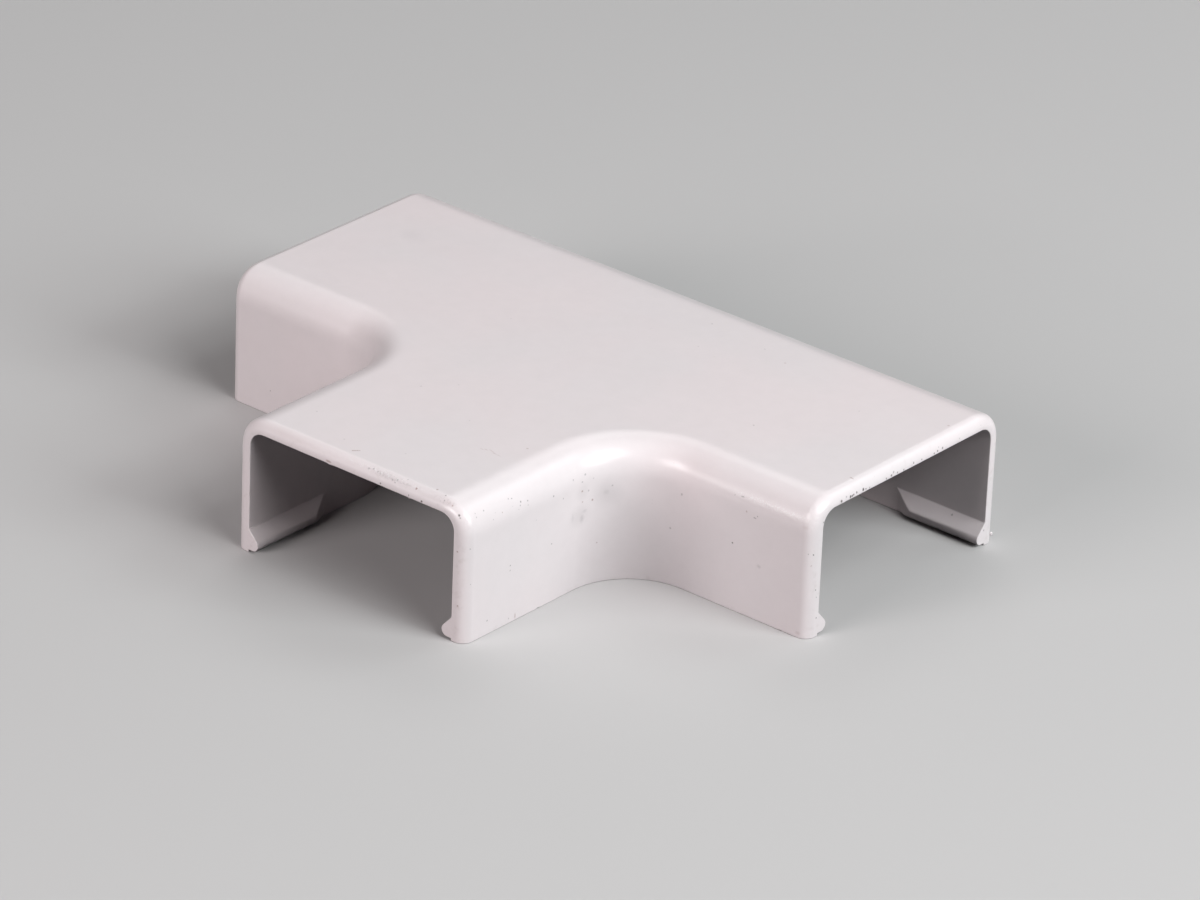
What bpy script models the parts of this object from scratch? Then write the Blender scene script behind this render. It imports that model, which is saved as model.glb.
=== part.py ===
"""Tee cover for small rectangular cable trunking, moulded in one piece from white rigid PVC.

The cover is a channel open underneath: a flat roof on thin walls, in the plan of a tee. It drops over
the place where a branch meets a straight run, and six short snap beads inside its feet grip the trunking.

Lengths are in metres and +Z is up. The feet stand on z = 0. The run lies along X, the branch points
to -Y, and the world's origin is under the middle of the plan.
"""
import math

import bmesh
import bpy
from mathutils import Vector

# Trunking that the cover clips over
RUN_TRUNKING_WIDTH = 0.0250
BRANCH_TRUNKING_WIDTH = 0.0250
TRUNKING_HEIGHT = 0.0125
SIDE_CLEARANCE = 0.0001
LID_CLEARANCE = 0.0002

# Walls
WALL = 0.0016
ROOF = 0.0013

# Plan
ARM_REACH = 0.0220
BRANCH_REACH = 0.0227
PLAN_FILLET = 0.0072

# Rounded edges
SHOULDER = 0.0030
INNER_SHOULDER = 0.0016
MOUTH_ROUND = 0.00115

# Snap beads inside the feet
BEAD_LENGTH = 0.0105
BEAD_RAMP = 0.0024
BEAD_REACH = 0.00115
BEAD_NOSE = 0.00065
BEAD_SHELF = 0.00025
BEAD_LEAD_ANGLE = math.radians(42.0)

# Sizes that follow from those above
RUN_HALF_HOLLOW = RUN_TRUNKING_WIDTH / 2 + SIDE_CLEARANCE
BRANCH_HALF_HOLLOW = BRANCH_TRUNKING_WIDTH / 2 + SIDE_CLEARANCE
RUN_HALF_WIDTH = RUN_HALF_HOLLOW + WALL
BRANCH_HALF_WIDTH = BRANCH_HALF_HOLLOW + WALL
HOLLOW_HEIGHT = TRUNKING_HEIGHT + LID_CLEARANCE
HEIGHT = HOLLOW_HEIGHT + ROOF
RUN_END = BRANCH_HALF_WIDTH + ARM_REACH
BRANCH_END = RUN_HALF_WIDTH + BRANCH_REACH
INNER_PLAN_FILLET = PLAN_FILLET + WALL

# How far the moulding core and the bead shapes run past what they cut
CORE_OVERRUN = 0.002
BEAD_OVERRUN = 0.004
BEAD_ROOT = WALL / 2

# Facets along the round stretches
PLAN_STEPS = 24
SHOULDER_STEPS = 12
INNER_SHOULDER_STEPS = 8
MOUTH_STEPS = 7
NOSE_STEPS = 8

# Finish
PVC_COLOUR = (0.787, 0.745, 0.753, 1.0)
PVC_ROUGHNESS = 0.34
SHARP_ANGLE = math.radians(32.0)
SAME_PLACE = 1e-6


def clear_scene():
    """Removes every object of the scene."""
    for thing in list(bpy.data.objects):
        bpy.data.objects.remove(thing, do_unlink=True)


def arc(centre, radius, start, end, steps):
    """Points in plan along an arc, both ends included, for angles in radians."""
    points = []
    for step in range(steps + 1):
        angle = start + (end - start) * step / steps
        points.append((centre[0] + radius * math.cos(angle), centre[1] + radius * math.sin(angle)))
    return points


def tee_outline(run_half, branch_half, run_end, branch_end, fillet):
    """Plan of a tee around the crossing of its centre lines, anticlockwise, with two concave fillets."""
    left_centre = (-branch_half - fillet, -run_half - fillet)
    right_centre = (branch_half + fillet, -run_half - fillet)
    outline = [(run_end, run_half), (-run_end, run_half), (-run_end, -run_half)]
    outline += arc(left_centre, fillet, math.pi / 2, 0.0, PLAN_STEPS)
    outline += [(-branch_half, -branch_end), (branch_half, -branch_end)]
    outline += arc(right_centre, fillet, math.pi, math.pi / 2, PLAN_STEPS)
    outline.append((run_end, -run_half))
    return outline


def tee_prism(outline, bottom, top):
    """A bmesh of the plan raised from one height to another."""
    bm = bmesh.new()
    base = bm.faces.new([bm.verts.new((x, y, bottom)) for x, y in outline])
    raised = bmesh.ops.extrude_face_region(bm, geom=[base])["geom"]
    lifted = [item for item in raised if isinstance(item, bmesh.types.BMVert)]
    bmesh.ops.translate(bm, verts=lifted, vec=(0.0, 0.0, top - bottom))
    bmesh.ops.recalc_face_normals(bm, faces=bm.faces)
    return bm


def in_mouth_plane(edge, run_end, branch_end):
    """Whether an edge lies in the plane of one of the three mouths."""
    first, second = (vert.co for vert in edge.verts)
    at_run_end = abs(abs(first.x) - run_end) < SAME_PLACE and abs(first.x - second.x) < SAME_PLACE
    at_branch_end = abs(first.y + branch_end) < SAME_PLACE and abs(second.y + branch_end) < SAME_PLACE
    return at_run_end or at_branch_end


def round_shoulders(bm, top, run_end, branch_end, radius, steps):
    """Rounds the edges between the roof and the walls, and leaves the mouths square."""
    shoulders = []
    for edge in bm.edges:
        on_top = all(abs(vert.co.z - top) < SAME_PLACE for vert in edge.verts)
        if on_top and not in_mouth_plane(edge, run_end, branch_end):
            shoulders.append(edge)
    bmesh.ops.bevel(bm, geom=shoulders, offset=radius, offset_type="OFFSET", segments=steps,
                    profile=0.5, affect="EDGES", clamp_overlap=False)


def round_mouths(bm, run_end, branch_end):
    """Rounds over the outer edge of each mouth, from one foot over the roof to the other."""
    rims = []
    for edge in bm.edges:
        at_foot = all(abs(vert.co.z) < SAME_PLACE for vert in edge.verts)
        if in_mouth_plane(edge, run_end, branch_end) and not at_foot:
            rims.append(edge)
    bmesh.ops.bevel(bm, geom=rims, offset=MOUTH_ROUND, offset_type="OFFSET", segments=MOUTH_STEPS,
                    profile=0.5, affect="EDGES", clamp_overlap=False)


def bead_profile():
    """Section of a snap bead, as (distance from the wall's inner face, height) pairs.

    A short level shelf leads to a round nose, and a lead-in slopes from the nose back to the wall.
    """
    centre = (BEAD_REACH - BEAD_NOSE, BEAD_SHELF + BEAD_NOSE)
    nose = arc(centre, BEAD_NOSE, -math.pi / 2, BEAD_LEAD_ANGLE, NOSE_STEPS)
    lead_reach, lead_height = nose[-1]
    top = lead_height + lead_reach / math.tan(BEAD_LEAD_ANGLE)
    return [(-BEAD_ROOT, BEAD_SHELF)] + nose + [(0.0, top), (-BEAD_ROOT, top)]


def add_bead(bm, mouth_point, inward, across):
    """Adds one bead to a bmesh, from beyond the mouth to its slanting inner end."""
    outer_ring = []
    inner_ring = []
    for reach, height in bead_profile():
        side = mouth_point + across * reach + Vector((0.0, 0.0, height))
        end = BEAD_LENGTH - BEAD_RAMP * reach / BEAD_REACH
        outer_ring.append(bm.verts.new(side - inward * BEAD_OVERRUN))
        inner_ring.append(bm.verts.new(side + inward * end))
    count = len(outer_ring)
    bm.faces.new(outer_ring)
    bm.faces.new(inner_ring)
    for index in range(count):
        after = (index + 1) % count
        bm.faces.new((outer_ring[index], outer_ring[after], inner_ring[after], inner_ring[index]))


def add_object(name, bm, parent):
    """Makes a child object from a bmesh, smooth except along its sharp edges."""
    mesh = bpy.data.meshes.new(name)
    bmesh.ops.recalc_face_normals(bm, faces=bm.faces)
    bm.to_mesh(mesh)
    bm.free()
    mesh.shade_smooth()
    mesh.set_sharp_from_angle(angle=SHARP_ANGLE)
    thing = bpy.data.objects.new(name, mesh)
    bpy.context.collection.objects.link(thing)
    thing.parent = parent
    return thing


def hide_cutter(thing):
    """Marks an object as a shape that only cuts."""
    thing.hide_render = True
    thing.display_type = "WIRE"


def subtract(target, cutter):
    """Cuts one object out of another."""
    modifier = target.modifiers.new("cut_" + cutter.name, "BOOLEAN")
    modifier.operation = "DIFFERENCE"
    modifier.solver = "EXACT"
    modifier.object = cutter


def make_beads(parent):
    """The six snap beads, one on each wall beside each mouth."""
    bm = bmesh.new()
    for side in (-1.0, 1.0):
        for end in (-1.0, 1.0):
            run_point = Vector((end * RUN_END, side * RUN_HALF_HOLLOW, 0.0))
            add_bead(bm, run_point, Vector((-end, 0.0, 0.0)), Vector((0.0, -side, 0.0)))
        branch_point = Vector((side * BRANCH_HALF_HOLLOW, -BRANCH_END, 0.0))
        add_bead(bm, branch_point, Vector((0.0, 1.0, 0.0)), Vector((-side, 0.0, 0.0)))
    beads = add_object("bead_shapes", bm, parent)
    hide_cutter(beads)
    return beads


def make_core(parent, beads):
    """The moulding core: the hollow's shape, grooved where the beads form."""
    run_end = RUN_END + CORE_OVERRUN
    branch_end = BRANCH_END + CORE_OVERRUN
    outline = tee_outline(RUN_HALF_HOLLOW, BRANCH_HALF_HOLLOW, run_end, branch_end, INNER_PLAN_FILLET)
    bm = tee_prism(outline, -CORE_OVERRUN, HOLLOW_HEIGHT)
    round_shoulders(bm, HOLLOW_HEIGHT, run_end, branch_end, INNER_SHOULDER, INNER_SHOULDER_STEPS)
    core = add_object("moulding_core", bm, parent)
    subtract(core, beads)
    hide_cutter(core)
    return core


def make_pvc():
    """White rigid PVC, satin as it leaves the mould."""
    material = bpy.data.materials.new("white_pvc")
    material.use_nodes = True
    shader = material.node_tree.nodes["Principled BSDF"]
    shader.inputs["Base Color"].default_value = PVC_COLOUR
    shader.inputs["Roughness"].default_value = PVC_ROUGHNESS
    shader.inputs["Metallic"].default_value = 0.0
    return material


def make_cover(parent, core):
    """The cover: the outer tee with rounded shoulders and mouths, hollowed by the core."""
    outline = tee_outline(RUN_HALF_WIDTH, BRANCH_HALF_WIDTH, RUN_END, BRANCH_END, PLAN_FILLET)
    bm = tee_prism(outline, 0.0, HEIGHT)
    round_shoulders(bm, HEIGHT, RUN_END, BRANCH_END, SHOULDER, SHOULDER_STEPS)
    round_mouths(bm, RUN_END, BRANCH_END)
    cover = add_object("tee_cover", bm, parent)
    cover.data.materials.append(make_pvc())
    subtract(cover, core)
    return cover


def main():
    """Builds the cover on the crossing of its centre lines."""
    clear_scene()
    crossing = bpy.data.objects.new("tee_crossing", None)
    bpy.context.collection.objects.link(crossing)
    crossing.location = (0.0, BRANCH_REACH / 2, 0.0)
    beads = make_beads(crossing)
    core = make_core(crossing, beads)
    make_cover(crossing, core)


main()
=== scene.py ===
"""Looks of a trunking tee cover: a white PVC moulding on a pale floor, seen as in its photograph.

The cover is remodelled at full smoothness inside the frame's node, then finished as satin rigid PVC
with the tone drift, moulded skin, grime and small blemishes of a handled fitting. Lengths are in
metres unless a name ends in _mm or the class says millimetres.
"""

import logging
import math
from contextlib import contextmanager
from dataclasses import dataclass, field
from enum import Enum
from typing import Callable, Iterator

import bmesh
import bpy
from mathutils import Euler, Matrix, Vector

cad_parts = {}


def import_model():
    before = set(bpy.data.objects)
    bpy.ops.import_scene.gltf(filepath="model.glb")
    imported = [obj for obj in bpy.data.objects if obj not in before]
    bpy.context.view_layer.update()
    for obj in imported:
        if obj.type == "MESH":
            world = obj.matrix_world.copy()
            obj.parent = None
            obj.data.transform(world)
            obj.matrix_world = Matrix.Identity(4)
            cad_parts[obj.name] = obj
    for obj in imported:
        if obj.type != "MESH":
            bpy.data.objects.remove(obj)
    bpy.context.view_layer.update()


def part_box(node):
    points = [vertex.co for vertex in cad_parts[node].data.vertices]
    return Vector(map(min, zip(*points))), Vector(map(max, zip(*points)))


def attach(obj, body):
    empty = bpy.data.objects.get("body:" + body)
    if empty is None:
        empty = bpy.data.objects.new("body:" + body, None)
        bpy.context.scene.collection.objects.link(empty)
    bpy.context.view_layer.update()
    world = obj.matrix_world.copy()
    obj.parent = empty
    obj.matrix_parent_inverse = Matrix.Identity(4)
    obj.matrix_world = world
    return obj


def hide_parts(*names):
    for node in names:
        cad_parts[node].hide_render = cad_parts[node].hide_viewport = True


LOG = logging.getLogger("tee_cover_looks")
NODE = "tee_cover"
BODY = "root"
MM = 0.001
NEAR = 1e-6  # Two lengths count as equal within this, in metres.
FACING = 0.9  # A face looks along an axis where that share of its normal, or more, lies along it.
CRUMB_HALF = 0.25  # A blemish whose smallest half size is under this, in millimetres, is a crumb.
SOFT_CORE = 0.25  # The share of a crumb's or a zone's half sizes that is fully covered.
COLOUR_A, COLOUR_B, MIXED = 6, 7, 2  # A colour Mix node's two inputs, and its output.

Piece = bpy.types.Object
Material = bpy.types.Material
Tree = bpy.types.NodeTree
Socket = bpy.types.NodeSocket
Triple = tuple[float, float, float]


class Element(Enum):
    """What edit mode selects."""

    VERTEX = "VERT"
    EDGE = "EDGE"
    FACE = "FACE"


class Stain(Enum):
    """The tints that blemishes leave on white plastic, in the order in which they are laid."""

    DUST = "#8B8386"
    RUST = "#8E5F52"
    SOOT = "#3B3230"


def linear(hex_colour: str) -> tuple[float, float, float, float]:
    """Turns an sRGB hex colour into linear RGBA.

    Args:
        hex_colour: A colour such as "#E6E1E2".

    Returns:
        The linear red, green and blue, and an alpha of 1.
    """
    channels = []
    for start in (1, 3, 5):
        value = int(hex_colour[start:start + 2], 16) / 255
        channels.append(value / 12.92 if value <= 0.04045 else ((value + 0.055) / 1.055) ** 2.4)
    return (*channels, 1.0)


def hold_nothing() -> None:
    """Deselects every object."""
    bpy.ops.object.select_all(action="DESELECT")


def hold(piece: Piece) -> None:
    """Makes a piece the only selected object, and the active one."""
    hold_nothing()
    piece.select_set(True)
    bpy.context.view_layer.objects.active = piece


def settle(piece: Piece) -> None:
    """Moves a piece's place, turn and scale into its mesh."""
    hold(piece)
    bpy.ops.object.transform_apply(location=True, rotation=True, scale=True)


@contextmanager
def edit_mode(piece: Piece, element: Element) -> Iterator[None]:
    """Opens a piece in edit mode with nothing selected.

    Args:
        piece: The mesh object to shape.
        element: Whether vertices, edges or faces are selected.

    Yields:
        Nothing. The piece is back in object mode afterwards.
    """
    hold(piece)
    bpy.ops.object.mode_set(mode="EDIT")
    bpy.ops.mesh.select_mode(type=element.value)
    bpy.ops.mesh.select_all(action="DESELECT")
    try:
        yield
    finally:
        bpy.ops.object.mode_set(mode="OBJECT")


def pick_edges(piece: Piece, wanted: Callable[[Vector, Vector], bool]) -> None:
    """Selects the edges of the piece in edit mode that pass a test.

    Args:
        piece: The mesh object in edit mode.
        wanted: Takes an edge's two ends and says whether it is selected.
    """
    mesh = bmesh.from_edit_mesh(piece.data)
    for edge in mesh.edges:
        edge.select_set(wanted(edge.verts[0].co, edge.verts[1].co))
    bmesh.update_edit_mesh(piece.data)


def pick_faces(piece: Piece, wanted: Callable[[Vector, Vector], bool]) -> None:
    """Selects the faces of the piece in edit mode that pass a test.

    Args:
        piece: The mesh object in edit mode.
        wanted: Takes a face's centre and normal and says whether it is selected.
    """
    mesh = bmesh.from_edit_mesh(piece.data)
    for face in mesh.faces:
        face.select_set(wanted(face.calc_center_median(), face.normal))
    bmesh.update_edit_mesh(piece.data)


def add_block(name: str, low: Vector, high: Vector) -> Piece:
    """Adds a block between two corners.

    Args:
        name: The object's name.
        low: The lowest corner.
        high: The highest corner.

    Returns:
        The block, with its place in its mesh.
    """
    hold_nothing()
    bpy.ops.mesh.primitive_cube_add(size=1.0, location=(low + high) / 2, scale=high - low)
    block = bpy.context.active_object
    block.name = name
    settle(block)
    return block


def combine(target: Piece, tool: Piece, operation: str) -> None:
    """Joins or cuts one solid with another and throws the second away.

    Args:
        target: The solid that is kept.
        tool: The solid that is added or taken away.
        operation: "UNION" or "DIFFERENCE".
    """
    modifier = target.modifiers.new(tool.name, "BOOLEAN")
    modifier.operation = operation
    modifier.solver = "EXACT"
    modifier.object = tool
    hold(target)
    bpy.ops.object.modifier_apply(modifier=modifier.name)
    bpy.data.objects.remove(tool, do_unlink=True)


def round_edges(radius: float, steps: int, fullness: float = 0.5) -> None:
    """Rounds the selected edges of the piece in edit mode.

    Args:
        radius: How far the rounding reaches along each face.
        steps: Facets across the rounding.
        fullness: 0.5 for a circle's arc, more for one that eases in and turns fastest halfway.
    """
    bpy.ops.mesh.bevel(offset_type="OFFSET", offset=radius, segments=steps, profile=fullness,
                       affect="EDGES", clamp_overlap=False)


@dataclass
class TeeForm:
    """A tee-shaped block: a run along X and a branch to -Y, with rounded shoulders.

    The halves and ends are measured from the crossing of the two centre lines.
    """

    crossing_y: float
    run_half: float
    branch_half: float
    run_end: float
    branch_end: float
    bottom: float
    top: float
    plan_fillet: float
    shoulder: float
    shoulder_steps: int
    shoulder_fullness: float = 0.5
    plan_steps: int = 36
    flat_angle: float = math.radians(0.5)

    def in_mouth(self, first: Vector, second: Vector) -> bool:
        """Tells whether an edge lies in the plane of a mouth.

        Args:
            first: One end of the edge.
            second: The other end.

        Returns:
            True in the planes of the run's two ends and the branch's end.
        """
        front = self.crossing_y - self.branch_end
        at_side = abs(abs(first.x) - self.run_end) < NEAR and abs(first.x - second.x) < NEAR
        at_front = abs(first.y - front) < NEAR and abs(second.y - front) < NEAR
        return at_side or at_front

    def at_height(self, height: float, first: Vector, second: Vector) -> bool:
        """Tells whether both ends of an edge lie at a height."""
        return abs(first.z - height) < NEAR and abs(second.z - height) < NEAR

    def build(self, name: str) -> Piece:
        """Models the block from a box: bisect, extrude the branch, round the corners and shoulders.

        Args:
            name: The object's name.

        Returns:
            The finished block.
        """
        front = self.crossing_y - self.run_half
        low = Vector((-self.run_end, front, self.bottom))
        high = Vector((self.run_end, self.crossing_y + self.run_half, self.top))
        block = add_block(name, low, high)
        with edit_mode(block, Element.FACE):
            for side in (-1, 1):
                bpy.ops.mesh.select_all(action="SELECT")
                bpy.ops.mesh.bisect(plane_co=(side * self.branch_half, 0, 0), plane_no=(1, 0, 0))
            pick_faces(block, lambda centre, normal: normal.y < -FACING and abs(centre.x) < NEAR)
            out = (0, self.run_half - self.branch_end, 0)
            bpy.ops.mesh.extrude_region_move(TRANSFORM_OT_translate={"value": out})
            bpy.ops.mesh.select_all(action="SELECT")
            bpy.ops.mesh.dissolve_limited(angle_limit=self.flat_angle)
        with edit_mode(block, Element.EDGE):
            pick_edges(block, lambda a, b: self.is_inner_corner(a, b, front))
            round_edges(self.plan_fillet, self.plan_steps)
            pick_edges(block, lambda a, b: self.at_height(self.top, a, b)
                       and not self.in_mouth(a, b))
            round_edges(self.shoulder, self.shoulder_steps, self.shoulder_fullness)
        return block

    def is_inner_corner(self, first: Vector, second: Vector, front: float) -> bool:
        """Tells whether an edge is the upright corner between the run and the branch."""
        placed = abs(abs(first.x) - self.branch_half) < NEAR and abs(first.y - front) < NEAR
        return placed and abs(first.z - second.z) > NEAR

    def round_mouths(self, block: Piece, radius: float, steps: int) -> None:
        """Rounds the outer edge of each mouth, from foot to foot.

        Args:
            block: The block that build made.
            radius: The rounding's radius.
            steps: Facets across the rounding.
        """
        with edit_mode(block, Element.EDGE):
            pick_edges(block, lambda a, b: self.in_mouth(a, b)
                       and not self.at_height(self.bottom, a, b))
            round_edges(radius, steps)


@dataclass
class SnapBead:
    """A snap bead inside a foot: a level shelf, a round nose and a sloping lead-in."""

    length: float = 10.5 * MM
    ramp: float = 2.4 * MM
    reach: float = 1.15 * MM
    nose: float = 0.65 * MM
    shelf: float = 0.25 * MM
    lead: float = math.radians(42.0)
    root: float = 0.8 * MM
    overrun: float = 4.0 * MM
    weld: float = 0.01 * MM
    steps: int = 10

    def build(self, name: str) -> Piece:
        """Models the bead along X, its mouth at x = 0, on a wall face at y = 0 that looks to -Y.

        Args:
            name: The object's name.

        Returns:
            The bead, rooted in the wall and cut on the slant at its inner end.
        """
        blend = self.nose * math.tan(self.lead / 2)
        lead_foot = self.shelf + self.nose + blend
        top = lead_foot + self.reach / math.tan(self.lead)
        inner_end = -self.length - 2 * self.ramp
        bead = add_block(name, Vector((inner_end, -self.reach, self.shelf)),
                         Vector((self.overrun, 0, top)))
        with edit_mode(bead, Element.EDGE):
            pick_edges(bead, lambda a, b: min(a.z, b.z) > top - NEAR and max(a.y, b.y) < -NEAR)
            bpy.ops.transform.translate(value=(0, 0, lead_foot - top))
            pick_edges(bead, lambda a, b: max(a.z, b.z) < self.shelf + NEAR
                       and max(a.y, b.y) < -NEAR)
            round_edges(self.nose, self.steps)
            pick_edges(bead, lambda a, b: min(a.z, b.z) > lead_foot - NEAR
                       and max(a.y, b.y) < -NEAR)
            round_edges(blend, self.steps // 2)
            bpy.ops.mesh.select_all(action="SELECT")
            bpy.ops.mesh.remove_doubles(threshold=self.weld)
        with edit_mode(bead, Element.FACE):
            pick_faces(bead, lambda centre, normal: normal.y > FACING)
            bpy.ops.mesh.extrude_region_move(TRANSFORM_OT_translate={"value": (0, self.root, 0)})
            bpy.ops.mesh.select_all(action="SELECT")
            slant = Vector((-self.reach, -self.ramp, 0)).normalized()
            bpy.ops.mesh.bisect(plane_co=(-self.length, 0, 0), plane_no=slant, use_fill=True,
                                clear_outer=True)
            bpy.ops.mesh.select_all(action="SELECT")
            bpy.ops.mesh.normals_make_consistent(inside=False)
        return bead

    def place_copy(self, bead: Piece, name: str, mouth: Vector, flip: bool, turn: float) -> Piece:
        """Places a copy of the bead at a mouth.

        Args:
            bead: The bead that build made.
            name: The copy's name.
            mouth: Where the wall's inner face meets the mouth, at foot level.
            flip: Whether the copy is mirrored across its own wall.
            turn: The angle from +X to the way out of the mouth.

        Returns:
            The copy, with its own mesh and its place in it.
        """
        hold(bead)
        bpy.ops.object.duplicate(linked=False)
        copy = bpy.context.active_object
        copy.name = name
        mirror = Matrix.Diagonal((1, -1 if flip else 1, 1, 1))
        copy.data.transform(Matrix.Translation(mouth) @ Matrix.Rotation(turn, 4, "Z") @ mirror)
        if flip:
            copy.data.flip_normals()
        return copy


@dataclass
class Flaw:
    """A crumb of moulding flash on an edge, or a nick in it, with lengths in millimetres."""

    name: str
    place: Triple
    half: Triple
    operation: str = "UNION"
    lumpiness: float = 0.10
    subdivisions: int = 3

    def build(self) -> Piece:
        """Models the flaw's shape as a lumpy ball, drawn out along its edge.

        Returns:
            The shape, with its place in its mesh.
        """
        hold_nothing()
        bpy.ops.mesh.primitive_ico_sphere_add(subdivisions=self.subdivisions, radius=1.0)
        ball = bpy.context.active_object
        ball.name = self.name
        with edit_mode(ball, Element.VERTEX):
            bpy.ops.mesh.select_all(action="SELECT")
            bpy.ops.transform.vertex_random(offset=self.lumpiness, normal=1.0, seed=len(self.name))
        ball.scale = Vector(self.half) * MM
        ball.location = Vector(self.place) * MM
        settle(ball)
        return ball


@dataclass
class CoverShell:
    """The moulded cover, sized from the frame's node and from its own walls and radii."""

    low: Vector
    high: Vector
    run_width: float = 28.4 * MM
    branch_width: float = 28.4 * MM
    wall: float = 1.6 * MM
    roof: float = 1.3 * MM
    plan_fillet: float = 7.2 * MM
    shoulder: float = 3.5 * MM
    shoulder_fullness: float = 0.561
    shoulder_steps: int = 24
    inner_shoulder: float = 1.6 * MM
    inner_steps: int = 10
    mouth_round: float = 1.15 * MM
    mouth_steps: int = 10
    overrun: float = 2.0 * MM
    edge_break: float = 0.08 * MM
    edge_steps: int = 3
    edge_angle: float = math.radians(35.0)
    smooth_angle: float = math.radians(32.0)
    broad_weight: int = 60
    bead: SnapBead = field(default_factory=SnapBead)
    flaws: tuple[Flaw, ...] = (
        Flaw("branch_foot_nick", (14.35, -15.1, 0.0), (0.40, 0.22, 0.13), "DIFFERENCE"),
        Flaw("run_foot_nick", (33.1, -3.00, 0.0), (0.20, 0.40, 0.09), "DIFFERENCE"),
        Flaw("far_foot_crumb", (36.0, 25.28, 0.72), (0.14, 0.16, 0.20)),
        Flaw("branch_lip_crumb", (7.1, -25.46, 12.72), (0.16, 0.07, 0.09)),
        Flaw("branch_lip_flash", (-2.7, -25.43, 12.72), (0.42, 0.09, 0.11)),
    )

    @property
    def crossing_y(self) -> float:
        """Where the branch's centre line meets the run's."""
        return self.high.y - self.run_width / 2

    def outer_form(self) -> TeeForm:
        """Describes the outside of the cover.

        Returns:
            The form of the walls' and the roof's outer faces.
        """
        return TeeForm(
            crossing_y=self.crossing_y,
            run_half=self.run_width / 2,
            branch_half=self.branch_width / 2,
            run_end=self.high.x,
            branch_end=self.crossing_y - self.low.y,
            bottom=self.low.z,
            top=self.high.z,
            plan_fillet=self.plan_fillet,
            shoulder=self.shoulder,
            shoulder_fullness=self.shoulder_fullness,
            shoulder_steps=self.shoulder_steps,
        )

    def core_form(self) -> TeeForm:
        """Describes the hollow, which runs past the mouths and the feet.

        Returns:
            The form that is cut out of the outside.
        """
        return TeeForm(
            crossing_y=self.crossing_y,
            run_half=self.run_width / 2 - self.wall,
            branch_half=self.branch_width / 2 - self.wall,
            run_end=self.high.x + self.overrun,
            branch_end=self.crossing_y - self.low.y + self.overrun,
            bottom=self.low.z - self.overrun,
            top=self.high.z - self.roof,
            plan_fillet=self.plan_fillet + self.wall,
            shoulder=self.inner_shoulder,
            shoulder_steps=self.inner_steps,
        )

    def build(self) -> Piece:
        """Models the whole moulding.

        Returns:
            The finished cover as one closed solid.
        """
        outer = self.outer_form()
        cover = outer.build("tee_cover_moulding")
        outer.round_mouths(cover, self.mouth_round, self.mouth_steps)
        core = self.core_form().build("moulding_core")
        self.groove(core)
        combine(cover, core, "DIFFERENCE")
        self.break_edges(cover)
        for flaw in self.flaws:
            combine(cover, flaw.build(), flaw.operation)
        self.shade(cover)
        return cover

    def groove(self, core: Piece) -> None:
        """Cuts the six bead shapes into the core, two beside each mouth.

        Args:
            core: The hollow's form.
        """
        pattern = self.bead.build("bead_pattern")
        run_hollow = self.run_width / 2 - self.wall
        branch_hollow = self.branch_width / 2 - self.wall
        stations = []
        for way, turn in ((1, 0.0), (-1, math.pi)):
            for side in (1, -1):
                mouth = Vector((way * self.high.x, self.crossing_y + side * run_hollow, self.low.z))
                stations.append((mouth, way * side < 0, turn))
        for side in (1, -1):
            mouth = Vector((side * branch_hollow, self.low.y, self.low.z))
            stations.append((mouth, side < 0, -math.pi / 2))
        for number, (mouth, flip, turn) in enumerate(stations):
            copy = self.bead.place_copy(pattern, f"bead_{number}", mouth, flip, turn)
            combine(core, copy, "DIFFERENCE")
        bpy.data.objects.remove(pattern, do_unlink=True)

    def break_edges(self, cover: Piece) -> None:
        """Takes the sharpness off every edge, as polishing does to a mould's inserts.

        Args:
            cover: The hollowed cover.
        """
        modifier = cover.modifiers.new("edge_break", "BEVEL")
        modifier.width = self.edge_break
        modifier.segments = self.edge_steps
        modifier.limit_method = "ANGLE"
        modifier.angle_limit = self.edge_angle
        modifier.use_clamp_overlap = False
        hold(cover)
        bpy.ops.object.modifier_apply(modifier=modifier.name)

    def shade(self, cover: Piece) -> None:
        """Shades the cover smooth, with normals led by its broad faces.

        Args:
            cover: The finished cover.
        """
        hold(cover)
        bpy.ops.object.shade_smooth_by_angle(angle=self.smooth_angle)
        modifier = cover.modifiers.new("broad_normals", "WEIGHTED_NORMAL")
        modifier.keep_sharp = True
        modifier.weight = self.broad_weight
        bpy.ops.object.modifier_apply(modifier=modifier.name)


def add_node(tree: Tree, kind: str, settings: dict | None = None,
             inputs: dict | None = None) -> bpy.types.Node:
    """Adds a shader node with its settings and links.

    Args:
        tree: The material's or the world's node tree.
        kind: The node's type, such as "ShaderNodeTexNoise".
        settings: Attributes of the node.
        inputs: Values or output sockets, by the name or number of the input.

    Returns:
        The new node.
    """
    node = tree.nodes.new(kind)
    for name, value in (settings or {}).items():
        setattr(node, name, value)
    for name, value in (inputs or {}).items():
        if isinstance(value, Socket):
            tree.links.new(value, node.inputs[name])
        else:
            node.inputs[name].default_value = value
    return node


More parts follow.
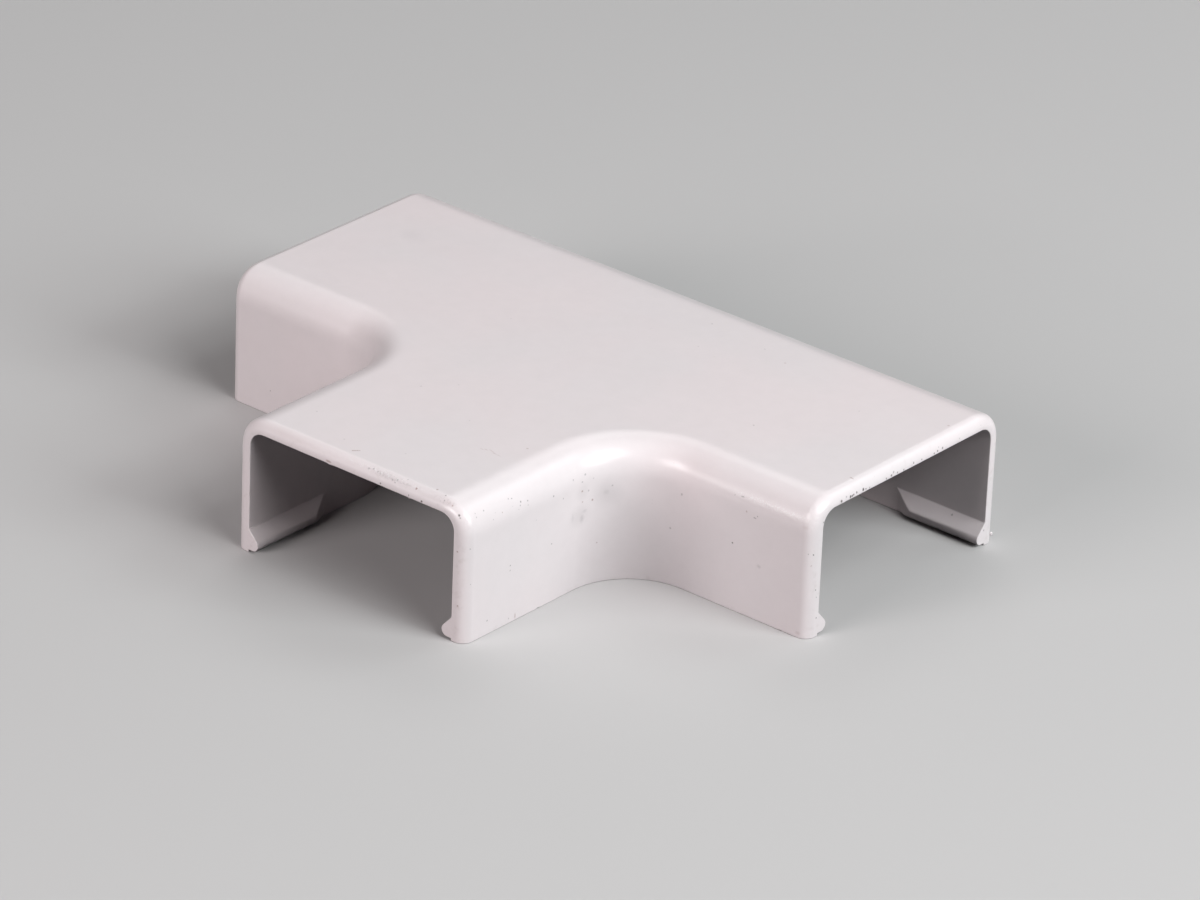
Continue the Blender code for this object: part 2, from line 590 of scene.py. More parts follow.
@dataclass(frozen=True)
class FloorPaper:
    """Matt backdrop paper: a pale tone with no sheen, which throws little light at the object."""

    colour: str = "#CDCBCB"
    bounce: str = "#2C2C2E"
    roughness: float = 0.95

    def material(self) -> Material:
        """Makes the paper's material.

        Returns:
            The material, pale where it is seen or mirrored and dark to the light that it scatters.
        """
        material = bpy.data.materials.new("matt_backdrop_paper")
        material.use_nodes = True
        tree = material.node_tree
        shader = tree.nodes["Principled BSDF"]
        shader.inputs["Roughness"].default_value = self.roughness
        path = add_node(tree, "ShaderNodeLightPath")
        mirrored = add_node(tree, "ShaderNodeMath", {"operation": "MAXIMUM"},
                            {0: path.outputs["Is Glossy Ray"],
                             1: path.outputs["Is Transmission Ray"]})
        seen = add_node(tree, "ShaderNodeMath", {"operation": "MAXIMUM"},
                        {0: path.outputs["Is Camera Ray"], 1: mirrored.outputs[0]})
        tone = add_node(tree, "ShaderNodeMix", {"data_type": "RGBA"},
                        {0: seen.outputs[0], COLOUR_A: linear(self.bounce),
                         COLOUR_B: linear(self.colour)})
        tree.links.new(tone.outputs[MIXED], shader.inputs["Base Color"])
        return material


@dataclass(frozen=True)
class Blemish:
    """One stain on the plastic: its middle and half sizes in millimetres, tint and depth."""

    at: Triple
    half: Triple
    stain: Stain
    depth: float

    @property
    def core(self) -> float:
        """The fully covered share of the half sizes: none in a wide smudge, some in a crumb."""
        return SOFT_CORE if min(self.half) < CRUMB_HALF else 0.0


def dots(stain: Stain, *rows: tuple[float, ...]) -> list[Blemish]:
    """Describes round blemishes of one stain.

    Args:
        stain: Their tint.
        rows: Each one's x, y, z and radius in millimetres, and its depth.

    Returns:
        The blemishes.
    """
    return [Blemish((x, y, z), (radius, radius, radius), stain, depth)
            for x, y, z, radius, depth in rows]


BLEMISHES = (
    # The branch's right wall and shoulder.
    *dots(Stain.SOOT, (14.0, -17.9, 12.0, 0.13, 0.60), (14.1, -17.0, 11.8, 0.12, 0.60),
          (13.65, -22.7, 12.7, 0.11, 0.45), (14.15, -21.8, 11.65, 0.11, 0.40),
          (12.95, -25.25, 12.9, 0.16, 0.85), (13.1, -25.3, 12.7, 0.11, 0.55),
          (13.6, -23.8, 12.8, 0.10, 0.35), (14.2, -19.3, 6.0, 0.11, 0.50),
          (14.2, -19.3, 5.5, 0.11, 0.35), (14.2, -22.35, 1.45, 0.12, 0.50)),
    *dots(Stain.RUST, (14.1, -20.5, 11.9, 0.13, 0.55)),
    *dots(Stain.DUST, (14.2, -13.45, 11.0, 0.13, 0.65), (14.2, -12.05, 10.25, 0.12, 0.50),
          (13.8, -23.8, 12.5, 0.11, 0.45), (14.0, -21.4, 12.15, 0.10, 0.45),
          (13.7, -19.3, 12.7, 0.10, 0.55), (13.75, -18.9, 12.6, 0.12, 0.65),
          (14.1, -18.05, 11.7, 0.12, 0.55), (14.2, -18.3, 11.4, 0.11, 0.40),
          (14.2, -17.0, 11.4, 0.11, 0.50), (14.2, -13.5, 6.1, 0.12, 0.60),
          (14.2, -19.3, 0.5, 0.12, 0.40)),
    Blemish((14.2, -18.4, 0.45), (0.3, 0.14, 0.42), Stain.RUST, 0.40),
    # The right fillet's two smudges and the specks around them.
    *dots(Stain.RUST, (14.25, -9.4, 10.05, 0.17, 0.60), (14.45, -8.15, 8.8, 0.17, 0.60),
          (14.2, -9.3, 8.9, 0.14, 0.45), (14.7, -7.5, 4.2, 0.13, 0.40)),
    *dots(Stain.DUST, (14.2, -9.0, 11.65, 0.15, 0.50), (14.2, -9.4, 11.0, 0.13, 0.45),
          (14.15, -10.6, 11.6, 0.15, 0.55), (14.3, -8.6, 9.9, 0.15, 0.45),
          (14.5, -8.1, 11.0, 0.13, 0.35), (15.3, -6.3, 9.9, 0.12, 0.45)),
    Blemish((15.1, -6.8, 9.2), (1.9, 2.3, 1.9), Stain.SOOT, 0.12),
    Blemish((15.0, -6.8, 9.3), (0.7, 0.85, 0.7), Stain.SOOT, 0.20),
    Blemish((14.2, -9.4, 9.9), (0.8, 1.2, 1.2), Stain.SOOT, 0.08),
    Blemish((14.2, -9.7, 7.6), (1.4, 1.9, 1.6), Stain.SOOT, 0.11),
    Blemish((14.2, -9.3, 7.2), (0.4, 0.42, 0.60), Stain.DUST, 0.24),
    Blemish((14.2, -9.0, 7.9), (0.4, 0.45, 0.28), Stain.DUST, 0.18),
    Blemish((14.2, -10.6, 7.7), (0.4, 0.30, 0.70), Stain.DUST, 0.13),
    # The run's front wall and its grainy shoulder line.
    *dots(Stain.SOOT, (19.75, -3.05, 5.9, 0.15, 0.35), (27.0, -2.85, 6.9, 0.13, 0.85),
          (29.75, -2.85, 10.6, 0.10, 0.50)),
    *dots(Stain.RUST, (28.45, -2.85, 10.65, 0.15, 0.35)),
    *dots(Stain.DUST, (20.8, -2.9, 9.7, 0.16, 0.45), (26.9, -2.75, 11.8, 0.12, 0.40)),
    Blemish((29.45, -2.85, 10.35), (0.26, 0.15, 0.10), Stain.DUST, 0.55),
    Blemish((27.8, -2.7, 11.9), (0.32, 0.15, 0.08), Stain.SOOT, 0.38),
    Blemish((30.2, -2.85, 5.6), (0.40, 0.30, 0.28), Stain.DUST, 0.25),
    Blemish((35.3, -2.75, 11.4), (0.55, 0.35, 0.28), Stain.RUST, 0.14),
    Blemish((35.1, -2.8, 0.5), (0.45, 0.30, 0.28), Stain.RUST, 0.20),
    # The right mouth's near leg.
    *dots(Stain.SOOT, (35.7, -2.65, 8.8, 0.09, 0.50), (36.0, -2.3, 8.7, 0.11, 0.80),
          (36.2, -1.3, 11.75, 0.13, 0.50), (36.2, -1.9, 5.0, 0.11, 0.60),
          (36.2, -1.75, 4.2, 0.10, 0.50), (36.2, -1.6, 2.0, 0.12, 0.60)),
    *dots(Stain.RUST, (35.9, -2.4, 7.6, 0.12, 0.45)),
    # The branch's right leg.
    *dots(Stain.SOOT, (14.1, -24.9, 9.75, 0.10, 0.50), (14.1, -24.75, 6.1, 0.10, 0.45)),
    *dots(Stain.RUST, (13.1, -25.55, 9.35, 0.14, 0.55), (13.3, -25.5, 3.85, 0.16, 0.55)),
    # The roof.
    *dots(Stain.RUST, (9.9, -12.3, 14.0, 0.17, 0.32), (9.5, -24.4, 14.0, 0.15, 0.50),
          (15.5, 18.6, 14.0, 0.15, 0.28)),
    *dots(Stain.DUST, (-5.8, -9.4, 14.0, 0.16, 0.28), (-3.5, -6.7, 14.0, 0.14, 0.24),
          (-3.45, -22.72, 14.0, 0.15, 0.26), (7.3, 15.6, 14.0, 0.14, 0.24),
          (12.2, 19.6, 14.0, 0.14, 0.24)),
    Blemish((35.1, 4.0, 14.0), (0.35, 0.13, 0.2), Stain.RUST, 0.45),
    Blemish((34.85, 18.9, 14.0), (0.22, 0.16, 0.2), Stain.RUST, 0.32),
    Blemish((-28.7, 15.2, 14.0), (2.6, 1.9, 0.8), Stain.DUST, 0.05),
    # A short red mark and a bent scratch on the branch's roof.
    *dots(Stain.RUST, (-1.33, -23.92, 14.0, 0.12, 0.50), (-1.22, -23.82, 14.0, 0.13, 0.55),
          (-1.10, -23.70, 14.0, 0.13, 0.55), (-0.98, -23.58, 14.0, 0.13, 0.50),
          (-0.86, -23.47, 14.0, 0.12, 0.40)),
    Blemish((6.95, -15.33, 14.0), (0.35, 0.09, 0.2), Stain.RUST, 0.24),
    Blemish((7.35, -15.15, 14.0), (0.30, 0.10, 0.2), Stain.RUST, 0.24),
    Blemish((7.75, -14.98, 14.0), (0.32, 0.09, 0.2), Stain.RUST, 0.24),
    Blemish((8.10, -15.08, 14.0), (0.28, 0.10, 0.2), Stain.RUST, 0.26),
    Blemish((8.45, -15.23, 14.0), (0.30, 0.09, 0.2), Stain.RUST, 0.26),
    Blemish((8.95, -15.26, 14.0), (0.42, 0.08, 0.2), Stain.RUST, 0.20),
    # Dirt along the top edge of the right mouth.
    *dots(Stain.SOOT, (36.2, 1.25, 12.98, 0.19, 0.85), (36.2, 2.57, 12.96, 0.20, 0.90),
          (36.2, 2.86, 12.97, 0.16, 0.80), (36.2, 3.05, 13.02, 0.15, 0.75),
          (36.2, 3.5, 13.08, 0.17, 0.70), (36.2, 4.48, 13.02, 0.21, 0.95),
          (36.2, 4.85, 12.95, 0.15, 0.70), (36.2, 7.9, 12.92, 0.13, 0.60),
          (36.2, 8.65, 12.95, 0.17, 0.80), (36.2, 9.55, 12.94, 0.15, 0.65),
          (36.2, 10.5, 12.88, 0.15, 0.55), (36.2, 12.0, 13.05, 0.16, 0.65),
          (36.2, 15.1, 12.93, 0.15, 0.65), (36.2, 15.6, 13.0, 0.16, 0.70),
          (36.2, 16.35, 13.05, 0.17, 0.70)),
    *dots(Stain.DUST, (36.15, 2.0, 13.15, 0.14, 0.50), (36.2, 5.4, 12.9, 0.11, 0.60),
          (36.15, 9.0, 13.2, 0.13, 0.55), (36.2, 13.2, 12.97, 0.14, 0.60),
          (36.1, 15.8, 13.3, 0.10, 0.50), (36.2, 18.95, 13.1, 0.11, 0.40)),
    # Brown and dark crumbs along the branch mouth's top edge.
    *dots(Stain.SOOT, (3.6, -25.55, 12.95, 0.12, 0.75), (7.05, -25.55, 12.95, 0.11, 0.60),
          (8.65, -25.55, 12.9, 0.15, 0.90), (10.8, -24.7, 13.95, 0.12, 0.50),
          (11.05, -25.15, 13.7, 0.11, 0.40)),
    *dots(Stain.RUST, (7.65, -25.15, 13.7, 0.16, 0.70), (12.05, -25.2, 13.55, 0.15, 0.55)),
    *dots(Stain.DUST, (1.8, -25.15, 13.7, 0.15, 0.45), (2.3, -25.0, 13.8, 0.13, 0.50),
          (2.9, -25.1, 13.75, 0.16, 0.40), (4.8, -25.25, 13.65, 0.15, 0.50),
          (5.3, -25.1, 13.75, 0.17, 0.50), (5.2, -25.35, 13.55, 0.12, 0.45),
          (6.2, -24.7, 13.95, 0.11, 0.40)),
    Blemish((-2.8, -25.5, 12.95), (0.50, 0.25, 0.17), Stain.RUST, 0.55),
    Blemish((-8.6, -25.2, 13.6), (5.2, 0.75, 0.9), Stain.RUST, 0.10),
    Blemish((4.2, -25.15, 13.7), (2.6, 0.35, 0.4), Stain.DUST, 0.16),
    Blemish((11.6, -25.1, 13.65), (0.9, 0.45, 0.35), Stain.RUST, 0.12),
    # Two dots on the far bead.
    *dots(Stain.SOOT, (32.5, 23.6, 2.1, 0.16, 0.50), (36.2, 23.8, 1.7, 0.14, 0.50)),
)


@dataclass(frozen=True)
class Zone:
    """A soft-edged ellipsoid on the moulding, in millimetres, where a texture shows."""

    at: Triple
    half: Triple
    core: float = SOFT_CORE
    depth: float = 1.0


@dataclass(frozen=True)
class Relief:
    """One layer of the moulded skin: its features' size in millimetres, octaves and height."""

    size: float
    octaves: float
    height: float


@dataclass(frozen=True)
class Patches:
    """A cloudy pattern: its size in millimetres, its octaves, and the noise at 0 and at 1."""

    size: float
    octaves: float
    low: float
    high: float
    coarseness: float = 0.5


@dataclass(frozen=True)
class Tint:
    """A colour and how much of it shows."""

    colour: str
    share: float


@dataclass(frozen=True)
class Scatter:
    """A scatter of specks, one to a cell at most, with sizes in millimetres.

    The shares say how many cells hold a speck, outside the speckled zones and inside them.
    """

    cell: float
    radius: float
    sparse: float
    dense: float
    core: float = 0.4


@dataclass(frozen=True)
class Band:
    """A strip along a rim: the axis across it, and where it starts and ends in millimetres."""

    axis: str
    start: float
    end: float


@dataclass(frozen=True)
class Surface:
    """A material's node tree, and the place in millimetres that its patterns read."""

    tree: Tree
    point: Socket

    def tint(self, colour: Socket, mask: Socket, tint: Tint) -> Socket:
        """Mixes a tint into a colour where a mask is white.

        Args:
            colour: The colour so far.
            mask: Where the tint lies, from 0 to 1.
            tint: The tint, and how much of it shows where the mask is white.

        Returns:
            The tinted colour.
        """
        factor = add_node(self.tree, "ShaderNodeMath", {"operation": "MULTIPLY"},
                          {0: mask, 1: tint.share})
        mix = add_node(self.tree, "ShaderNodeMix", {"data_type": "RGBA"},
                       {0: factor.outputs[0], COLOUR_A: colour, COLOUR_B: linear(tint.colour)})
        return mix.outputs[MIXED]

    def strongest(self, masks: list[Socket]) -> Socket:
        """Takes the largest of several masks at each point.

        Args:
            masks: One mask or more.

        Returns:
            The mask of them all.
        """
        total = masks[0]
        for mask in masks[1:]:
            total = add_node(self.tree, "ShaderNodeMath", {"operation": "MAXIMUM"},
                             {0: total, 1: mask}).outputs[0]
        return total

    def patches(self, pattern: Patches) -> Socket:
        """Makes a cloudy mask.

        Args:
            pattern: The clouds' size, octaves and limits.

        Returns:
            The mask, from 0 to 1.
        """
        clouds = add_node(self.tree, "ShaderNodeTexNoise", None,
                          {"Vector": self.point, "Scale": 1 / pattern.size,
                           "Detail": pattern.octaves, "Roughness": pattern.coarseness})
        return add_node(self.tree, "ShaderNodeMapRange", {"interpolation_type": "SMOOTHSTEP"},
                        {"Value": clouds.outputs[0], "From Min": pattern.low,
                         "From Max": pattern.high}).outputs[0]

    def spot(self, mark: Zone | Blemish) -> Socket:
        """Makes a soft-edged ellipsoid mask.

        Args:
            mark: Where the ellipsoid lies, its covered core, and the mask's value there.

        Returns:
            The mask.
        """
        scale = tuple(1 / size for size in mark.half)
        shift = tuple(-middle / size for middle, size in zip(mark.at, mark.half))
        local = add_node(self.tree, "ShaderNodeVectorMath", {"operation": "MULTIPLY_ADD"},
                         {0: self.point, 1: scale, 2: shift})
        distance = add_node(self.tree, "ShaderNodeVectorMath", {"operation": "LENGTH"},
                            {0: local.outputs[0]})
        return add_node(self.tree, "ShaderNodeMapRange", {"interpolation_type": "SMOOTHSTEP"},
                        {"Value": distance.outputs["Value"], "From Min": mark.core,
                         "From Max": 1.0, "To Min": mark.depth, "To Max": 0.0}).outputs[0]

    def zone_mask(self, zones: tuple[Zone, ...]) -> Socket:
        """Makes a mask that is white inside soft-edged zones."""
        return self.strongest([self.spot(zone) for zone in zones])

    def within(self, mask: Socket, zones: tuple[Zone, ...]) -> Socket:
        """Keeps a mask only inside zones, faded out towards their edges."""
        return add_node(self.tree, "ShaderNodeMath", {"operation": "MULTIPLY"},
                        {0: mask, 1: self.zone_mask(zones)}).outputs[0]


@dataclass(frozen=True)
class SatinPvc:
    """Rigid white PVC, injection moulded against a satin steel mould and then handled.

    It gives a cool pinkish white that drifts a little, a soft skin that spreads each lamp into a
    glow, a faint orange peel, white flecks painted along two grainy lines as their sparkle
    highlights, and crumbs of workshop dirt. Its sizes and heights are in millimetres.
    """

    pink_white: str = "#F3E8EA"
    grey_white: str = "#F0E8EA"
    drift: Patches = Patches(17.0, 2.0, 0.30, 0.70)
    mottle: Patches = Patches(1.6, 5.0, 0.0, 1.0, 0.75)
    mottle_tint: Tint = Tint("#CFC6C6", 0.15)
    grime: Patches = Patches(0.8, 4.0, 0.54, 0.80)
    grime_tint: Tint = Tint("#A99A8F", 0.18)
    grime_dulling: float = 0.20
    pits: Patches = Patches(0.26, 1.0, 0.50, 0.68)
    pit_tint: Tint = Tint("#8E8480", 0.20)
    # White flecks painted over the grainy lines as their sparkle highlights.
    sparkle_flecks: Patches = Patches(0.14, 1.0, 0.52, 0.66)
    sparkle_fleck_tint: Tint = Tint("#FFFFFF", 0.50)
    speck_tint: Tint = Tint(Stain.SOOT.value, 0.62)
    speck_height: float = 0.006
    dirt_dulling: float = 0.55
    ragged_size: float = 0.22
    ragged_octaves: float = 2.0
    ragged_reach: float = 0.08
    roughness: float = 0.30
    gloss: Patches = Patches(6.0, 3.0, 0.30, 0.70)
    gloss_reach: float = 0.02
    frost_dulling: float = 0.05
    ior: float = 1.53
    # The mould's own grain, of about 0.03 mm, is too fine to show and is drawn at 0.16 mm.
    skin_layers: tuple[Relief, ...] = (
        Relief(14.0, 1.0, 0.022),
        Relief(0.9, 2.0, 0.0014),
        Relief(0.16, 2.0, 0.0007),
    )
    grain: Relief = Relief(0.32, 2.0, 0.032)
    hairs: Patches = Patches(1.0, 1.0, 0.45, 0.62)
    hair_stretch: Triple = (1.0, 0.14, 1.0)
    hair_height: float = 0.004
    hair_turn: float = math.radians(-12.0)
    scatters: tuple[Scatter, ...] = (
        Scatter(0.75, 0.085, 0.006, 0.80),
        Scatter(2.4, 0.12, 0.25, 0.50),
    )
    rims: tuple[Band, ...] = (
        Band("X", 35.6, 36.3),
        Band("Y", -25.0, -25.6),
        Band("Z", 0.7, 0.0),
    )
    speckled: tuple[Zone, ...] = (
        Zone((14.2, -19.0, 11.3), (2.0, 6.5, 1.5)),
        Zone((14.4, -9.0, 9.6), (1.5, 2.6, 2.6)),
        Zone((13.4, -25.2, 12.7), (1.8, 0.9, 0.8)),
        Zone((36.2, 8.5, 12.9), (0.5, 9.5, 0.35)),
    )
    grainy: tuple[Zone, ...] = (
        Zone((1.0, -25.1, 13.6), (14.5, 0.9, 0.8)),
        Zone((31.0, -2.7, 11.9), (6.5, 0.8, 0.6)),
        Zone((13.9, -24.9, 12.7), (1.5, 1.5, 2.0)),
        Zone((35.6, -2.4, 12.5), (1.5, 1.5, 2.0)),
    )
    # The two grainy lines where sparkle highlights are painted in white.
    sparkle_zones: tuple[Zone, ...] = (
        Zone((31.0, -2.6, 12.1), (7.0, 0.6, 0.5)),
        Zone((4.0, -25.0, 13.7), (7.0, 0.5, 0.4)),
    )
    pitted: tuple[Zone, ...] = (
        Zone((4.6, -25.05, 13.75), (4.8, 0.55, 0.45)),
        Zone((11.2, -25.1, 13.65), (2.0, 0.45, 0.40)),
    )
    brushed: tuple[Zone, ...] = (
        Zone((11.9, -19.5, 13.9), (2.4, 7.5, 0.8)),
    )

    def material(self) -> Material:
        """Makes the PVC's material.

        Returns:
            The material, patterned in object coordinates.
        """
        material = bpy.data.materials.new("satin_white_rigid_pvc")
        material.use_nodes = True
        tree = material.node_tree
        shader = tree.nodes["Principled BSDF"]
        place = add_node(tree, "ShaderNodeTexCoord")
        point = add_node(tree, "ShaderNodeVectorMath", {"operation": "SCALE"},
                         {0: place.outputs["Object"], "Scale": 1 / MM}).outputs[0]
        surface = Surface(tree, point)
        grime = self.edge_grime(surface)
        specks = self.specks(surface)
        # Sparkle highlights painted as white flecks on the grainy lines.
        sparkle_flecks = surface.within(surface.patches(self.sparkle_flecks), self.sparkle_zones)
        pits = surface.within(surface.patches(self.pits), self.pitted)
        colour = self.tone(surface)
        for mask, tint in ((sparkle_flecks, self.sparkle_fleck_tint), (pits, self.pit_tint),
                           (grime, self.grime_tint)):
            colour = surface.tint(colour, mask, tint)
        colour, dirt = self.blemished(surface, colour)
        colour = surface.tint(colour, specks, self.speck_tint)
        tree.links.new(colour, shader.inputs["Base Color"])
        dirt = surface.strongest([dirt, specks])
        tree.links.new(self.sheen(surface, grime, dirt), shader.inputs["Roughness"])
        shader.inputs["IOR"].default_value = self.ior
        tree.links.new(self.skin(surface, specks), shader.inputs["Normal"])
        return material

    def tone(self, surface: Surface) -> Socket:
        """Lets the white drift between pink and grey over a centimetre or two, with a fine mottle.

        Args:
            surface: The surface to pattern.

        Returns:
            The colour.
        """
        mix = add_node(surface.tree, "ShaderNodeMix", {"data_type": "RGBA"},
                       {0: surface.patches(self.drift), COLOUR_A: linear(self.pink_white),
                        COLOUR_B: linear(self.grey_white)})
        return surface.tint(mix.outputs[MIXED], surface.patches(self.mottle), self.mottle_tint)

    def blemished(self, surface: Surface, colour: Socket) -> tuple[Socket, Socket]:
        """Lays the named blemishes on a colour, with ragged outlines.

        Args:
            surface: The surface to pattern.
            colour: The colour so far.

        Returns:
            The blemished colour, and the mask of every blemish.
        """
        tree = surface.tree
        ragged = add_node(tree, "ShaderNodeTexNoise", None,
                          {"Vector": surface.point, "Scale": 1 / self.ragged_size,
                           "Detail": self.ragged_octaves})
        reach = 2 * self.ragged_reach
        shift = add_node(tree, "ShaderNodeVectorMath", {"operation": "MULTIPLY_ADD"},
                         {0: ragged.outputs["Color"], 1: (reach, reach, reach),
                          2: (-reach / 2, -reach / 2, -reach / 2)})
        moved = add_node(tree, "ShaderNodeVectorMath", {"operation": "ADD"},
                         {0: surface.point, 1: shift.outputs[0]}).outputs[0]
        outlined = Surface(tree, moved)
        layers = []
        for stain in Stain:
            masks = [outlined.spot(mark) for mark in BLEMISHES if mark.stain is stain]
            layers.append(outlined.strongest(masks))
            colour = outlined.tint(colour, layers[-1], Tint(stain.value, 1.0))
        return colour, outlined.strongest(layers)

    def specks(self, surface: Surface) -> Socket:
        """Scatters fine dark specks, dense in the speckled zones and sparse elsewhere.

        Args:
            surface: The surface to pattern.

        Returns:
            The specks' mask.
        """
        tree = surface.tree
        zones = surface.zone_mask(self.speckled)
        layers = []
        for scatter in self.scatters:
            cells = add_node(tree, "ShaderNodeTexVoronoi", None,
                             {"Vector": surface.point, "Scale": 1 / scatter.cell})
            draw = add_node(tree, "ShaderNodeSeparateColor", None, {0: cells.outputs["Color"]})
            share = add_node(tree, "ShaderNodeMapRange", None,
                             {"Value": zones, "To Min": scatter.sparse, "To Max": scatter.dense})
            kept = add_node(tree, "ShaderNodeMath", {"operation": "LESS_THAN"},
                            {0: draw.outputs[0], 1: share.outputs[0]})
            spread = scatter.radius / scatter.cell
            shape = add_node(tree, "ShaderNodeMapRange", {"interpolation_type": "SMOOTHSTEP"},
                             {"Value": cells.outputs["Distance"], "From Min": spread * scatter.core,
                              "From Max": spread, "To Min": 1.0, "To Max": 0.0})
            faded = add_node(tree, "ShaderNodeMath", {"operation": "MULTIPLY"},
                             {0: shape.outputs[0], 1: draw.outputs[1]})
            layers.append(add_node(tree, "ShaderNodeMath", {"operation": "MULTIPLY"},
                                   {0: faded.outputs[0], 1: kept.outputs[0]}).outputs[0])
        return surface.strongest(layers)

    def edge_grime(self, surface: Surface) -> Socket:
        """Gathers a little grime in patches along the mouths and the feet.

        Args:
            surface: The surface to pattern.

        Returns:
            The grime's mask.
        """
        tree = surface.tree
        axes = add_node(tree, "ShaderNodeSeparateXYZ", None, {0: surface.point})
        side = add_node(tree, "ShaderNodeMath", {"operation": "ABSOLUTE"}, {0: axes.outputs["X"]})
        across = {"X": side.outputs[0], "Y": axes.outputs["Y"], "Z": axes.outputs["Z"]}
        bands = []
        for rim in self.rims:
            bands.append(add_node(tree, "ShaderNodeMapRange", {"interpolation_type": "SMOOTHSTEP"},
                                  {"Value": across[rim.axis], "From Min": rim.start,
                                   "From Max": rim.end}).outputs[0])
        return add_node(tree, "ShaderNodeMath", {"operation": "MULTIPLY"},
                        {0: surface.strongest(bands), 1: surface.patches(self.grime)}).outputs[0]

    def sheen(self, surface: Surface, grime: Socket, dirt: Socket) -> Socket:
        """Varies the roughness: satin overall, duller in the grainy zones, grime and dirt.

        Args:
            surface: The surface to pattern.
            grime: The grime's mask.
            dirt: The mask of specks and blemishes.

        Returns:
            The roughness.
        """
        roughness = add_node(surface.tree, "ShaderNodeMath", {"operation": "MULTIPLY_ADD"},
                             {0: surface.patches(self.gloss), 1: 2 * self.gloss_reach,
                              2: self.roughness - self.gloss_reach}).outputs[0]
        for mask, dulling in ((surface.zone_mask(self.grainy), self.frost_dulling),
                              (grime, self.grime_dulling), (dirt, self.dirt_dulling)):
            roughness = add_node(surface.tree, "ShaderNodeMath", {"operation": "MULTIPLY_ADD"},
                                 {0: mask, 1: dulling, 2: roughness}).outputs[0]
        return roughness

    def skin(self, surface: Surface, specks: Socket) -> Socket:
        """Shapes the surface: slow waves, orange peel, fine grain, grainy zones and hairlines.

        Args:
            surface: The surface to pattern.
            specks: The specks' mask.

        Returns:
            The bumped normal.
        """
        tree = surface.tree
        height = add_node(tree, "ShaderNodeMath", {"operation": "MULTIPLY"},
                          {0: specks, 1: self.speck_height}).outputs[0]
        raised = []
        for layer in (*self.skin_layers, self.grain):
            waves = add_node(tree, "ShaderNodeTexNoise", None,
                             {"Vector": surface.point, "Scale": 1 / layer.size,
                              "Detail": layer.octaves})
            raised.append((waves.outputs[0], layer.height))
        grit, grit_height = raised.pop()
        raised.append((surface.within(grit, self.grainy), grit_height))
        raised.append((self.hairlines(surface), -self.hair_height))
        for mask, size in raised:
            height = add_node(tree, "ShaderNodeMath", {"operation": "MULTIPLY_ADD"},
                              {0: mask, 1: size, 2: height}).outputs[0]
        return add_node(tree, "ShaderNodeBump", None,
                        {"Strength": 1.0, "Distance": MM, "Height": height}).outputs[0]

    def hairlines(self, surface: Surface) -> Socket:
        """Draws the fine rub marks that cross the branch's shoulder.

        Args:
            surface: The surface to pattern.

        Returns:
            The marks' mask.
        """
        along = add_node(surface.tree, "ShaderNodeMapping", {"vector_type": "TEXTURE"},
                         {"Vector": surface.point, "Rotation": (0.0, 0.0, self.hair_turn),
                          "Scale": self.hair_stretch})
        stretched = Surface(surface.tree, along.outputs[0])
        return surface.within(stretched.patches(self.hairs), self.brushed)


@dataclass(frozen=True)
class Softbox:
    """A rectangular lamp that looks at the object: its bearing, size in metres and power."""

    name: str
    azimuth: float
    elevation: float
    width: float
    height: float
    watts: float
    distance: float = 0.85
    colour: str = "#FFFFFF"

    def place(self, target: Vector) -> None:
        """Adds the lamp, hidden from the camera.

        Args:
            target: The point that the lamp looks at.
        """
        data = bpy.data.lights.new(self.name, "AREA")
        data.shape = "RECTANGLE"
        data.size = self.width
        data.size_y = self.height
        data.energy = self.watts
        data.color = linear(self.colour)[:3]
        lamp = bpy.data.objects.new(self.name, data)
        bpy.context.scene.collection.objects.link(lamp)
        azimuth, elevation = math.radians(self.azimuth), math.radians(self.elevation)
        level = math.cos(elevation)
        back = Vector((math.cos(azimuth) * level, math.sin(azimuth) * level, math.sin(elevation)))
        lamp.location = target + back * self.distance
        lamp.rotation_euler = back.to_track_quat("Z", "Y").to_euler()
        lamp.visible_camera = False


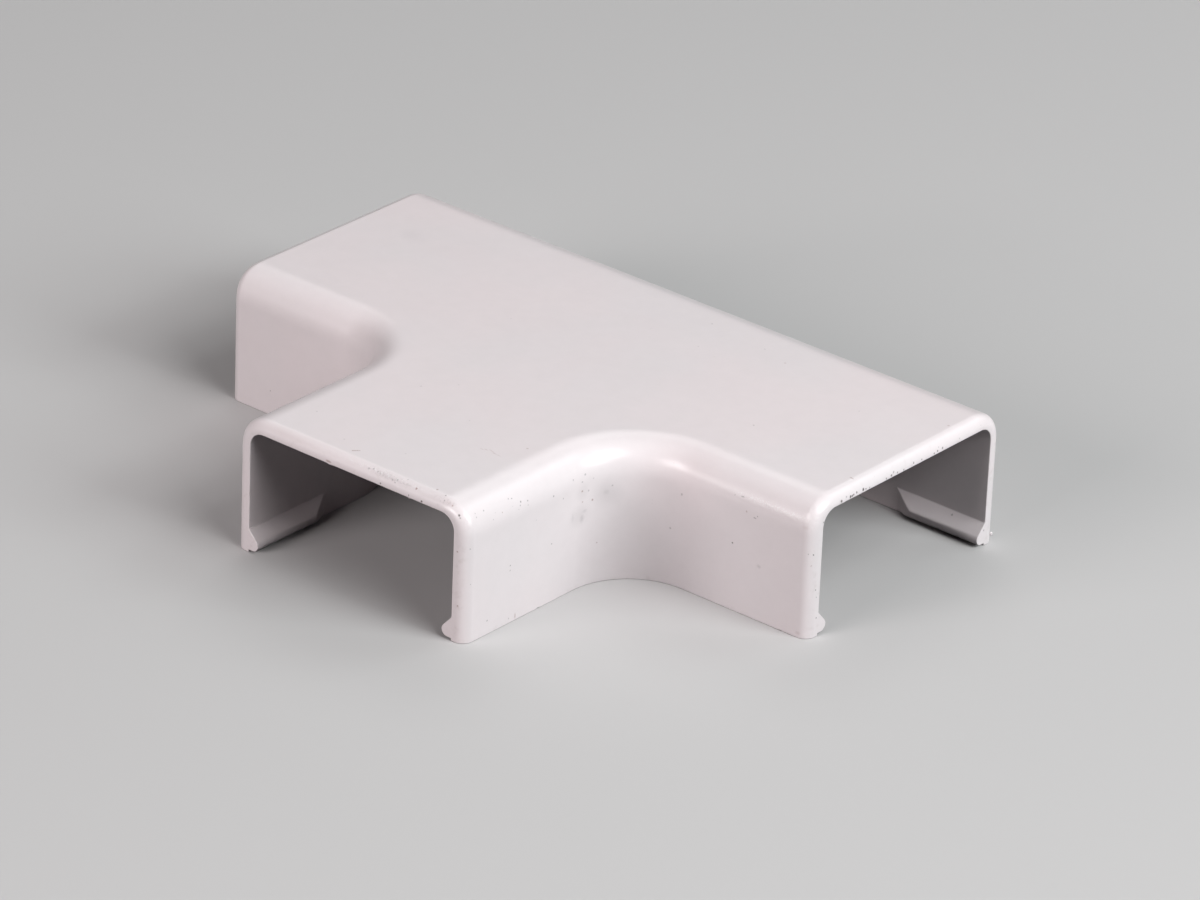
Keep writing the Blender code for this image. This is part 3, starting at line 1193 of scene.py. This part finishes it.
@dataclass(frozen=True)
class Studio:
    """A pale floor, a faint even room and a ring of soft lamps, strongest from the right."""

    floor_side: float = 8.0
    room_light: str = "#FFFFFF"
    room_strength: float = 0.01
    backdrop: str = "#DCDBDB"
    lamps: tuple[Softbox, ...] = (
        Softbox("right_key", 12.0, 26.0, 0.45, 0.32, 4.45, colour="#F5FCFC"),
        Softbox("right_fill", 350.0, 40.0, 0.40, 0.30, 1.90),
        Softbox("high_right_fill", 0.0, 50.0, 0.40, 0.40, 1.60),
        Softbox("window_core", 64.0, 40.0, 0.22, 0.22, 0.40, colour="#F6FCFD"),
        Softbox("window_wrap", 64.0, 40.0, 0.50, 0.45, 0.58, colour="#F6FCFD"),
        Softbox("back_left_fill", 125.0, 45.0, 0.45, 0.35, 0.84),
        Softbox("front_fill", 264.0, 22.0, 0.38, 0.30, 2.55, colour="#FFF9F9"),
        Softbox("front_left_fill", 252.0, 20.0, 0.26, 0.22, 0.85, colour="#FFF9F9"),
        Softbox("front_left_spark", 245.0, 11.5, 0.17, 0.06, 0.85, colour="#FFF9F9"),
    )

    def build(self, target: Vector) -> None:
        """Lays the floor and sets the lights.

        Args:
            target: The point that the lamps look at.
        """
        self.lay_floor()
        self.light_room()
        for lamp in self.lamps:
            lamp.place(target)

    def lay_floor(self) -> None:
        """Lays the floor that the feet stand on."""
        hold_nothing()
        bpy.ops.mesh.primitive_plane_add(size=self.floor_side, location=(0, 0, 0))
        floor = bpy.context.active_object
        floor.name = "studio_floor"
        floor.data.materials.append(FloorPaper().material())

    def light_room(self) -> None:
        """Lights the room evenly and faintly, and shows the camera a pale backdrop."""
        world = bpy.data.worlds.new("pale_room")
        bpy.context.scene.world = world
        world.use_nodes = True
        tree = world.node_tree
        tree.nodes.clear()
        path = add_node(tree, "ShaderNodeLightPath")
        light = add_node(tree, "ShaderNodeBackground", None,
                         {"Color": linear(self.room_light), "Strength": self.room_strength})
        shown = add_node(tree, "ShaderNodeBackground", None,
                         {"Color": linear(self.backdrop), "Strength": 1.0})
        choice = add_node(tree, "ShaderNodeMixShader", None,
                          {0: path.outputs["Is Camera Ray"], 1: light.outputs[0],
                           2: shown.outputs[0]})
        add_node(tree, "ShaderNodeOutputWorld", None, {"Surface": choice.outputs[0]})


@dataclass(frozen=True)
class PhotoCamera:
    """The photograph's camera: a long lens from the front right, a little rolled."""

    place: Triple = (0.3700, -0.4426, 0.2936)
    azimuth: float = math.radians(39.243)
    elevation: float = math.radians(26.477)
    roll: float = math.radians(2.346)
    sensor_mm: float = 36.0
    lens_mm: float = 204.06
    clip_start: float = 0.01

    def build(self) -> Piece:
        """Adds the camera and makes it the scene's.

        Returns:
            The camera object.
        """
        data = bpy.data.cameras.new("photo_camera")
        data.sensor_width = self.sensor_mm
        data.lens = self.lens_mm
        data.clip_start = self.clip_start
        camera = bpy.data.objects.new("photo_camera", data)
        bpy.context.scene.collection.objects.link(camera)
        level = Euler((math.pi / 2 - self.elevation, 0.0, self.azimuth)).to_matrix()
        turned = level @ Matrix.Rotation(self.roll, 3, "Z")
        camera.matrix_world = Matrix.Translation(self.place) @ turned.to_4x4()
        bpy.context.scene.camera = camera
        return camera


def main() -> None:
    """Builds the cover, its finish, the studio and the camera."""
    logging.basicConfig(level=logging.INFO, format="%(name)s: %(message)s")
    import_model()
    bpy.context.scene.view_settings.view_transform = "Standard"
    low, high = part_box(NODE)
    cover = CoverShell(low, high).build()
    cover.data.materials.clear()
    cover.data.materials.append(SatinPvc().material())
    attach(cover, BODY)
    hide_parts(NODE)
    LOG.info("%s: %d faces", cover.name, len(cover.data.polygons))
    Studio().build((low + high) / 2)
    PhotoCamera().build()
    LOG.info("studio and camera placed")


if __name__ == "__main__":
    main()
